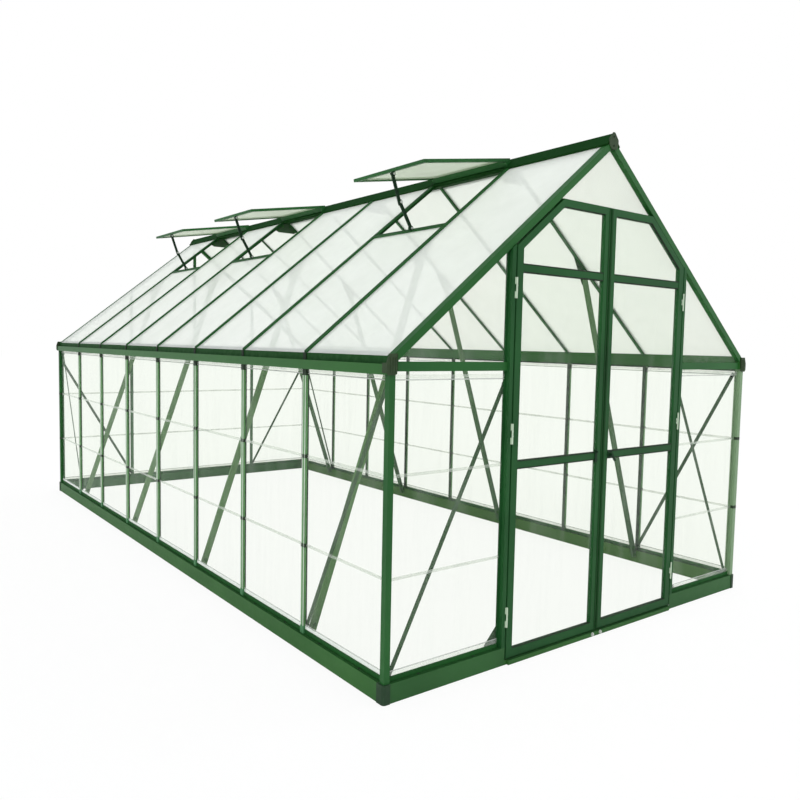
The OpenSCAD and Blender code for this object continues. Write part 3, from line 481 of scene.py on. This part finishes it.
FINISH = {
    "green_aluminium": green_aluminium, "green_steel": green_steel,
    "dark_plastic": cap_plastic, "clear_sheet": wall_sheet, "twin_wall": roof_sheet,
    "clear_strip": strip_plastic, "hinge_metal": hinge_metal, "dark_fitting": dark_fitting,
}
OWN = {"gable_sheets": gable_sheet, "vent_sheets": sash_sheet, "gutters": green_gutter,
       "side_wall_posts": green_post, "ridge_beam": green_ridge,
       "base_corners": corner_plastic, "base_end_rails": green_end,
       "base_side_rails": green_side, "frame_struts": green_strut,
       "joint_plates": green_brace, "gable_rafters": green_rafter,
       "door_posts": green_door, "corner_posts": green_corner,
       "corner_braces": green_brace}
for leaf in ("left_door", "right_door"):
    for name in ("stiles", "rails", "head"):
        OWN[leaf + "_" + name] = green_door
for part in frame["record"]["subparts"]:
    o = frame["nodes"][part["node"]]
    finish = OWN.get(part["node"], FINISH[part["material_slot"]])
    if not o.material_slots:
        o.data.materials.append(finish)
    for s in o.material_slots:
        s.material = finish


# ---- Where the details go ------------------------------------------------------

def runs(node, axis, gap=0.1):
    """Low and high end of each stretch along one axis that a CAD node's vertices fill,
    split wherever they leave a wider gap."""
    me = frame["nodes"][node].data
    v = np.empty(len(me.vertices) * 3)
    me.vertices.foreach_get("co", v)
    a = np.sort(v.reshape(-1, 3)[:, axis])
    cut = np.flatnonzero(np.diff(a) > gap)
    return np.stack([a[np.r_[0, cut + 1]], a[np.r_[cut, len(a) - 1]]], 1)


def low_high(node):
    """The two corners of a CAD node's box."""
    lo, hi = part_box(node)
    return np.array(lo), np.array(hi)


corner_w = 0.027  # width of a corner post
side_x = low_high("side_wall_sheets")[1][0]
end_y = low_high("rear_wall_sheets")[1][1]
base_top = low_high("base_side_rails")[1][2]
base_x = low_high("base_side_rails")[1][0]
base_y = low_high("base_end_rails")[1][1]
eave = low_high("gable_eave_rails")[0][2]
post_y = runs("side_wall_posts", 1)
post_x = low_high("side_wall_posts")[1][0]
rear_x = runs("rear_wall_posts", 0)
corner_in = low_high("corner_posts")[1] - corner_w
door_out = low_high("door_posts")[1][0]

stand_off = 0.0002  # what is fixed on a sheet or a bar starts this far off it
trim_drop = 0.0125  # the trim under the eave starts this far below the eave line
foot_h = 0.034  # height of a post's foot
head_drop = 0.040  # how far a post's head reaches down from the eave line
quarters = (0.25, 0.75)  # where a bay's two screws stand


def bays():
    """Start, end and outward direction of every pane along the four walls, at ground
    level: each path runs so that path x outward points up."""
    a, b, s = [], [], []
    edges = np.r_[-corner_in[1], post_y.ravel(), corner_in[1]].reshape(-1, 2)
    for lo, hi in edges:
        a += [(-side_x, lo, 0), (side_x, hi, 0)]
        b += [(-side_x, hi, 0), (side_x, lo, 0)]
        s += [(-1, 0, 0), (1, 0, 0)]
    edges = np.r_[-corner_in[0], rear_x.ravel(), corner_in[0]].reshape(-1, 2)
    for lo, hi in edges:
        a.append((lo, end_y, 0))
        b.append((hi, end_y, 0))
        s.append((0, 1, 0))
    for lo, hi in ((-corner_in[0], -door_out), (door_out, corner_in[0])):
        a.append((hi, -end_y, 0))
        b.append((lo, -end_y, 0))
        s.append((0, -1, 0))
    return np.array(a), np.array(b), np.array(s)


def posts():
    """Centre line and outward direction of every wall post between the corners."""
    c, s = [], []
    for lo, hi in post_y:
        c += [(-side_x, (lo + hi) / 2, 0), (side_x, (lo + hi) / 2, 0)]
        s += [(-1, 0, 0), (1, 0, 0)]
    for lo, hi in rear_x:
        c.append(((lo + hi) / 2, end_y, 0))
        s.append((0, 1, 0))
    return np.array(c, float), np.array(s, float)


# ---- Sills, edging and beads ----------------------------------------------------

def wall_trim():
    """Between the posts each sheet stands in a green sill strip with a rolled top, and
    above it come an edging, milky on the left wall and clear on the others, and a thin
    grey bead; a like edging and bead hang under the eave."""
    a, b, s = bays()
    sill_h, edging_h = 0.0187, 0.0135
    bead_rise, bead_drop = 0.0338, 0.0345  # above the base, and below the eave
    z = base_top
    sill = [(stand_off, z), (0.0042, z), (0.0042, z + 0.012), (0.0030, z + 0.0132),
            (0.0050, z + 0.0150), (0.0050, z + 0.0174), (0.0036, z + sill_h),
            (stand_off, z + sill_h)]
    piece("sill_strips", carried(sill, a, b, s), green_aluminium)
    z = base_top + sill_h + stand_off
    low = [(stand_off, z), (0.0022, z), (0.0026, z + 0.003), (0.0026, z + 0.011),
           (0.0016, z + edging_h), (stand_off, z + edging_h)]
    top = [(u, eave - trim_drop - (w - z)) for u, w in low][::-1]
    left = s[:, 0] < 0
    piece("sheet_edging", carried(low, a[left], b[left], s[left]), edge_plastic)
    piece("clear_edging", carried(low, a[~left], b[~left], s[~left]), strip_plastic)
    piece("eave_edging", carried(top, a, b, s), strip_plastic)
    z = base_top + bead_rise
    bead = [(stand_off, z), (0.0014, z + 0.0006), (0.0022, z + 0.0028),
            (0.0014, z + 0.005), (stand_off, z + 0.0056)]
    up = eave - bead_drop - z
    piece("sheet_beads", joined(carried(bead, a, b, s),
                                carried([(u, w + up) for u, w in bead], a, b, s)),
          bead_plastic)


def post_trim():
    """On every wall post: a coated foot on the base, a moulded head under the eave, a clip
    where the sheets meet, and a glazing bead down each edge, drawn pale as a painted
    highlight. The corner posts have the same clips, except the smooth one at the front left."""
    c, s = posts()
    across = np.cross((0, 0, 1), s)
    up = np.array((0, 0, 1.0))
    wide = (post_y[0, 1] - post_y[0, 0]) + 0.003
    deep = post_x - side_x + 0.0012
    below, above = 0.001, 0.003  # how far a clip reaches past the strip it covers
    sleeve = corner_w + 0.0014  # width of a clip around a corner post
    bead_x = 0.0104  # from the middle of a post to its glazing bead

    def block(z0, z1, w, d, r):
        mid = c + s * d / 2
        return carried(rounded(d, w, r), mid + up * z0, mid + up * z1, s)

    piece("post_feet", block(base_top, base_top + foot_h, wide, deep, 0.002), foot_metal)
    piece("post_heads", block(eave - head_drop, eave - trim_drop, wide + 0.001, deep, 0.002),
          clip_plastic)
    z = runs("sheet_strips", 2)
    joint = [block(lo - below, hi + above, wide + 0.004, deep + 0.0002, 0.003)
             for lo, hi in z]
    lo, hi = low_high("corner_posts")
    half = corner_w / 2
    mid = both([(hi[0] - half, hi[1] - half, 0), (hi[0] - half, lo[1] + half, 0)])[:3]
    joint += [carried(rounded(sleeve, sleeve, 0.001), mid + up * (low - below),
                      mid + up * (top + above), (1, 0, 0)) for low, top in z]
    piece("joint_clips", joined(*joint), clip_plastic)
    bead = [(0, -0.0019), (0.0016, -0.0011), (0.0022, 0), (0.0016, 0.0011), (0, 0.0019)]
    out = []
    for side in (-1, 1):
        mid = c + s * (post_x - side_x - stand_off) + across * side * bead_x
        out.append(carried(bead, mid + up * (base_top + foot_h),
                           mid + up * (eave - head_drop), s))
    piece("post_beads", joined(*out), post_plastic)


# ---- Screws, bolts and clips ----------------------------------------------------

PAN = turned([0.0046, 0.0044, 0.0034, 0.0012], [0, 0.0012, 0.0026, 0.0032])
SMALL = (PAN[0] * 0.7, PAN[1])  # the doors' screws
HEX = turned([0.0065, 0.0065, 0.0058, 0.0030], [0, 0.0046, 0.0053, 0.0054], flats=6)
WASHER = turned([0.0090, 0.0090, 0.0084], [0, 0.0010, 0.0014], 20)
BOLT = joined(WASHER, (HEX[0] + (0, 0, 0.0013), HEX[1]))


def ledge_screws():
    """Dark pan-head screws that hold the sills to the base, a quarter bay from each
    post."""
    inset = 0.012  # from the outer face of the base
    spots = []
    y = np.r_[-corner_in[1], post_y.mean(1), corner_in[1]]
    for lo, hi in zip(y[:-1], y[1:]):
        for f in quarters:
            for x in (-1, 1):
                spots.append((x * (base_x - inset), lo + (hi - lo) * f, base_top))
    x = np.r_[-corner_in[0], rear_x.mean(1), corner_in[0]]
    for lo, hi in zip(x[:-1], x[1:]):
        for f in quarters:
            spots.append((lo + (hi - lo) * f, base_y - inset, base_top))
    for lo, hi in ((-corner_in[0], -door_out), (door_out, corner_in[0])):
        for f in quarters:
            spots.append((lo + (hi - lo) * f, -base_y + inset, base_top))
    piece("ledge_screws", repeated(PAN, spots, (0, 0, 1)), rubber)


# ---- Doors ---------------------------------------------------------------------

def door_trim():
    """Each pane of a leaf has a dark rubber gasket along its sloping and level edges and a
    coated bead down its upright ones; a flat strip covers the edge where the leaves meet,
    drawn very dark as painted shade of the gap between them. The edges are walked clockwise
    as seen from outside, so that w points in over the pane."""
    gasket = [(0.0003, stand_off), (0.0086, stand_off), (0.0086, 0.0014),
              (0.0040, 0.0036), (0.0003, 0.0042)]
    bead = [(0.0003, stand_off), (0.0070, stand_off), (0.0066, 0.0014), (0.0003, 0.0026)]
    out = (0, -1, 0)
    bend_x = 0.313  # where the level top of the upper pane turns down the slope
    strip_x, strip_w, strip_t = 0.0085, 0.0100, 0.0016
    strip_end = 0.004  # how far the strip stops short of the stiles' ends
    hinge_x, hinge_end = 0.5895, 0.005  # screws: place, and how far in from each end
    handle_x, handle_end = 0.0335, 0.012
    for leaf, m in (("left_door", -1), ("right_door", 1)):
        lo, hi = low_high(leaf + "_sheets")
        x0, x1 = sorted((abs(lo[0]), abs(hi[0])))
        y = lo[1]
        rail = runs(leaf + "_rails", 2, 0.02)
        head, top = low_high(leaf + "_head")
        edge = max(abs(head[0]), abs(top[0]))
        rise = (hi[2] - head[2]) / (edge - bend_x)
        panes = [[(x0, rail[k, 1]), (x0, rail[k + 1, 0]), (x1, rail[k + 1, 0]),
                  (x1, rail[k, 1])] for k in range(len(rail) - 1)]
        panes.append([(x0, rail[-1, 1]), (x0, hi[2]), (bend_x, hi[2]),
                      (x1, head[2] + (edge - x1) * rise), (x1, rail[-1, 1])])
        level, upright = [], []
        for p in panes:
            p = np.array([(m * x, y, z) for x, z in p][::m])
            for a, b in zip(p, np.roll(p, -1, 0)):
                (upright if abs(a[0] - b[0]) < 1e-6 else level).append((a, b))
        for name, shape, way, stuff in (("gaskets", gasket, level, rubber),
                                        ("glazing_beads", bead, upright, green_door)):
            a, b = np.array([w[0] for w in way]), np.array([w[1] for w in way])
            piece(leaf + "_" + name, carried(shape, a, b, out), stuff, body=leaf)
        lo, hi = low_high(leaf + "_stiles")
        front = lo[1]
        mid = (m * strip_x, front - 0.0006)
        strip = carried(rounded(strip_t, strip_w, 0.0006), (*mid, lo[2] + strip_end),
                        (*mid, hi[2] - strip_end), out)
        piece(leaf + "_meeting_strip", strip, green_strip, body=leaf)
        spots = [(m * hinge_x, front, z) for a, b in runs(leaf + "_hinges", 2)
                 for z in (a + hinge_end, b - hinge_end)]
        piece(leaf + "_hinge_screws", repeated(SMALL, spots, out), zinc, body=leaf)
        lo, hi = low_high(leaf + "_handle")
        spots = [(m * handle_x, front, z)
                 for z in (lo[2] + handle_end, hi[2] - handle_end)]
        piece(leaf + "_handle_screws", repeated(SMALL, spots, out), rubber, body=leaf)


def threshold_bolts():
    """Two bright bolts in the nose of the threshold, one each side of where the leaves
    meet."""
    nose = low_high("door_threshold")[0][1]
    height = 0.0115
    spots = [(x, nose, height) for x in (-0.035, 0.022)]
    piece("threshold_bolts", repeated(BOLT, spots, (0, -1, 0)), zinc)


# ---- Frame fastenings -------------------------------------------------------------

def strut_bolts():
    """Bolts through the struts' feet and head plates, with a head on one side and a nut
    on the other, and through both ends of the plates that tie every second pair of roof
    bars under the ridge. Places are x and z on the right-hand side."""
    front = ((1.1720, 0.052), (1.1553, 0.100), (0.5957, 1.738))
    back = ((0.5957, 1.738), (0.6120, 1.752), (0.5530, 1.800))
    plate = ((0.030, 2.226), (0.064, 2.197))
    plate_t = 0.003
    struts = runs("frame_struts", 1)
    near = [(x, lo, z) for lo in struts[:, 0] for x, z in front]
    far = [(x, hi + plate_t, z) for hi in struts[:, 1] for x, z in back]
    piece("strut_bolts", joined(repeated(BOLT, both(near), (0, -1, 0)),
                                repeated(BOLT, both(far), (0, 1, 0))), green_steel)
    tied = runs("roof_bars", 1).mean(1)[::2] - plate_t / 2
    spots = [(x, y, z) for y in tied for x, z in plate]
    piece("ridge_plate_bolts", repeated(BOLT, both(spots), (0, -1, 0)), green_steel)


def brace_bolts():
    """Bolts through the ends of the corner braces, with their heads inside the house. Each
    pair of places is the lower and the upper end of a brace on the right-hand side."""
    side_face = 1.1954  # inner face of the side braces
    end_face = low_high("corner_braces")[1][1] - 0.0026  # and of those in the end walls
    side_ends = ((1.822, 0.111), (2.388, 1.203))
    front_ends = ((1.178, 0.103), (0.6165, 1.189))
    rear_ends = ((0.6155, 0.116), (1.1850, 1.112))
    spots = [(side_face, turn * y, z) for y, z in side_ends for turn in (-1, 1)]
    spots += [(x, -end_face, z) for x, z in front_ends]
    spots += [(x, end_face, z) for x, z in rear_ends]
    ways = [(-1, 0, 0)] * 4 + [(0, 1, 0)] * 2 + [(0, -1, 0)] * 2
    piece("brace_bolts", repeated(BOLT, both(spots), both(ways)), dark_fitting)


def gutter_clips():
    """Dark clips that hook the foot of each roof bar over the gutter's back wall."""
    wall_x, foot_z, clip_h = 1.2161, 1.2620, 0.038
    low = both([(wall_x, y, foot_z) for y in runs("roof_bars", 1).mean(1)])
    side = np.sign(low[:, :1]) * (1, 0, 0)
    piece("gutter_clips", carried(rounded(0.0048, 0.024, 0.0012), low,
                                  low + (0, 0, clip_h), side), rubber)


def corner_ribs():
    """Three upright ribs on the outer face of each eave corner moulding, and two screws
    in each ridge cap."""
    inward = (0.018, 0.030, 0.042)  # from the moulding's outer side to each rib
    proud, foot_rise, rib_h = 0.0008, 0.008, 0.056
    screw_z = (2.252, 2.292)
    lo, hi = low_high("eave_corners")
    foot = both([(hi[0] - x, turn * (hi[1] + proud), lo[2] + foot_rise) for x in inward
                 for turn in (-1, 1)])
    side = np.sign(foot[:, 1:2]) * (0, 1, 0)
    piece("corner_ribs", carried(rounded(0.0028, 0.0034, 0.0010), foot,
                                 foot + (0, 0, rib_h), side), cap_plastic)
    end = low_high("ridge_caps")[1][1]
    spots = [(0, turn * end, z) for z in screw_z for turn in (-1, 1)]
    piece("ridge_cap_screws", repeated(PAN, spots, [(0, q[1], 0) for q in spots]), rubber)


def stay_fittings():
    """The two links of each vent stay run in folded channels that pass each other where
    they meet; there is a round boss with a nut there, and at each end a bracket."""
    lo, hi = low_high("vent_stays")
    eye = 0.008  # radius of a link's rounded end
    lap = 0.015  # how far each channel runs on past the knuckle
    apart = 0.0020  # each channel's distance from the stay's middle plane
    boss_y, boss_t, bracket_y = 0.0065, 0.0046, 0.0075
    slope = (0.8, 0, 0.6)  # direction of a bracket's broad side
    share = (0.44, 0.52)  # how far across and down the knuckle lies between the ends
    knuckle_in = (0.006, 0)
    top = np.array((lo[0] + eye, hi[2] - eye))
    low = np.array((hi[0] - eye, lo[2] + eye))
    mid = top + (low - top) * share - knuckle_in
    boss = turned([0.0115, 0.0115, 0.0105], [0, 0.0038, boss_t], 20)
    spots, caps, a, b = [], [], [], []
    for y in runs("vent_stays", 1).mean(1):
        spots += [(q[0], y - boss_y, q[1]) for q in (top, mid, low)]
        caps += [(q[0], y, q[1]) for q in (top, low)]
        for end, lift in ((top, apart), (low, -apart)):
            past = mid - (end - mid) / np.linalg.norm(end - mid) * lap
            a.append((end[0], y + lift, end[1]))
            b.append((past[0], y + lift, past[1]))
    spots, caps = np.array(spots), np.array(caps)
    box = carried(rounded(0.020, 0.016, 0.003), caps - (0, bracket_y, 0),
                  caps + (0, bracket_y, 0), slope)
    channel = carried(rounded(0.0086, 0.0185, 0.002), a, b, (0, 1, 0))
    piece("stay_channels", channel, dark_fitting)
    piece("stay_bosses", joined(repeated(boss, spots, (0, -1, 0)), box), dark_fitting)
    piece("stay_nuts", repeated(HEX, spots - (0, boss_t, 0), (0, -1, 0)), zinc)


wall_trim()
post_trim()
ledge_screws()
door_trim()
threshold_bolts()
strut_bolts()
brace_bolts()
gutter_clips()
corner_ribs()
stay_fittings()

camera()
studio()
